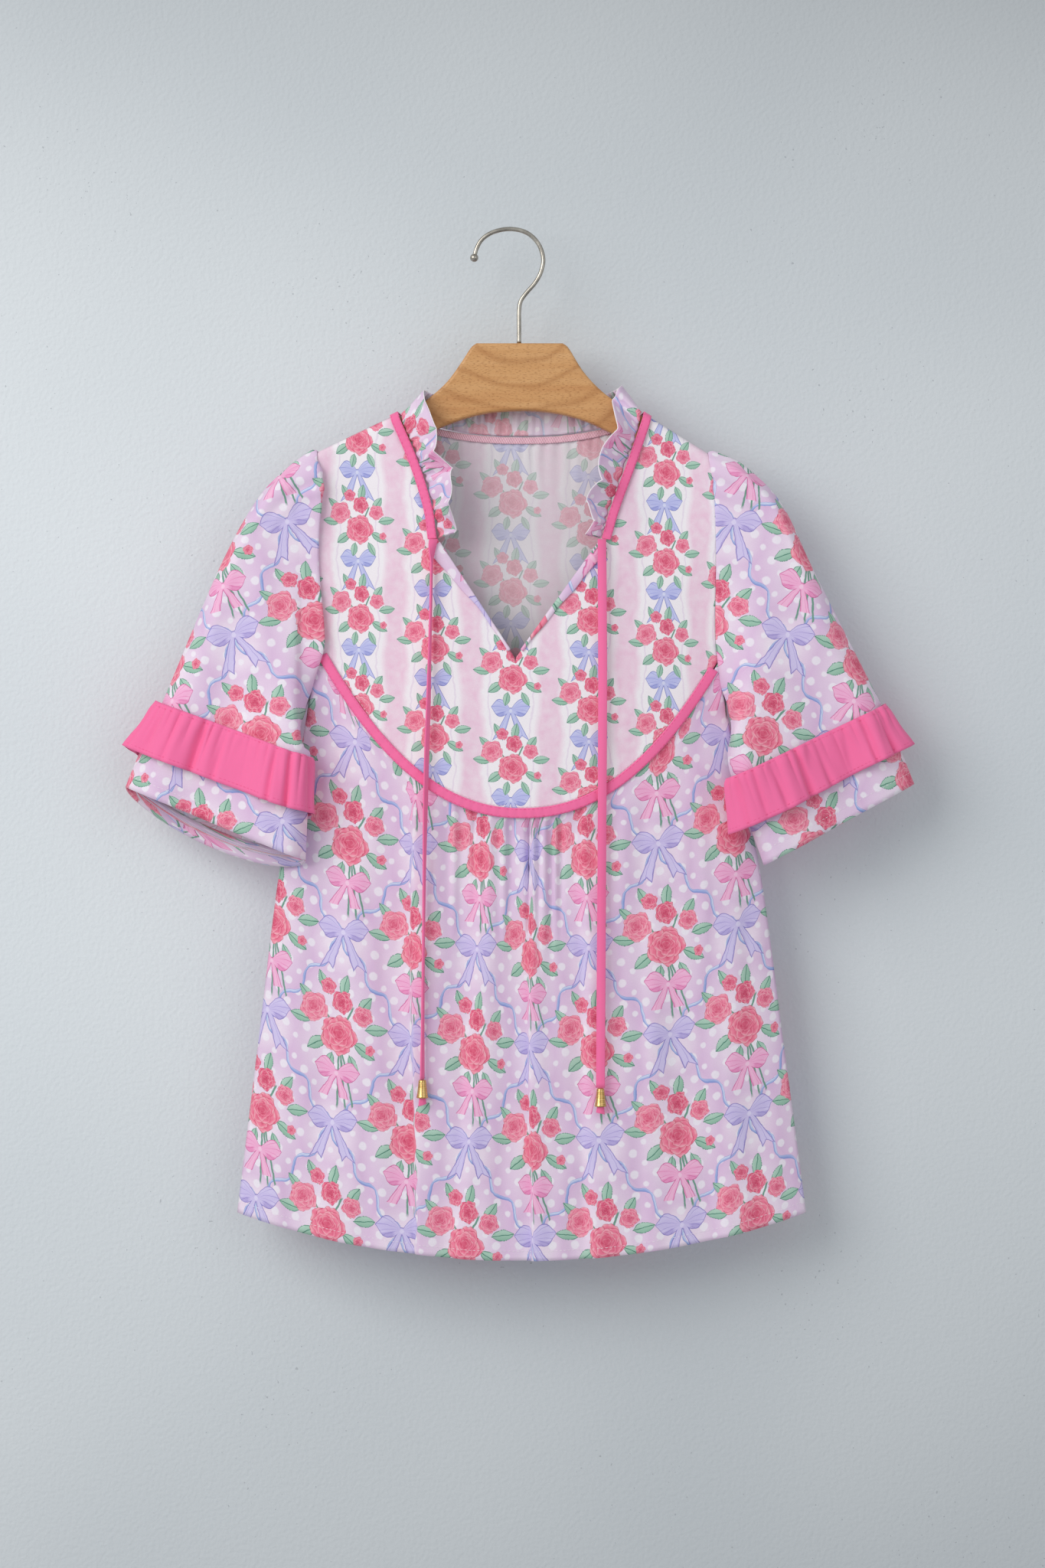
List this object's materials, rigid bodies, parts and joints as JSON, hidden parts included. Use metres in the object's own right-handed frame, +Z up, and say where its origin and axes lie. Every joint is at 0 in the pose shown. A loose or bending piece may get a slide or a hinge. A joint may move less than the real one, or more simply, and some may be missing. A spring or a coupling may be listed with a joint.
{
  "type": "ruffle blouse on a wooden hanger",
  "caption": "Short-sleeved ruffle blouse with a rounded yoke, a slit neck with ties and flared sleeves, hung on a flat wooden hanger by its wire hook.",
  "frame": {"origin": "point under the top of the hook's arc, on the wire's inner side, where a rail carries it", "axes": "+Z up, the front of the blouse faces -Y, +X to the viewer's right"},
  "size_m": [0.6227, 0.0705, 0.8129],
  "materials": {
    "rose_print": "printed light cotton",
    "yoke_print": "printed light cotton",
    "pink_trim": "plain light cotton",
    "gold_metal": "brushed",
    "beech": "satin varnish",
    "nickel_wire": "satin nickel"
  },
  "bodies": {
    "root": {"front_lower": "rose_print", "back_lower": "rose_print", "sleeve_left": "rose_print", "sleeve_right": "rose_print", "neck_ruffle": "rose_print", "slit_facing_left": "rose_print", "slit_facing_right": "rose_print", "front_yoke": "yoke_print", "back_yoke": "yoke_print", "sleeve_ruffle_left": "pink_trim", "sleeve_ruffle_right": "pink_trim", "neck_binding": "pink_trim", "yoke_band": "pink_trim", "tie_left": "pink_trim", "tie_right": "pink_trim", "tie_end_left": "pink_trim", "tie_end_right": "pink_trim", "tie_tip_left": "gold_metal", "tie_tip_right": "gold_metal", "hanger_wood": "beech", "hanger_hook": "nickel_wire"}
  },
  "joints": []
}
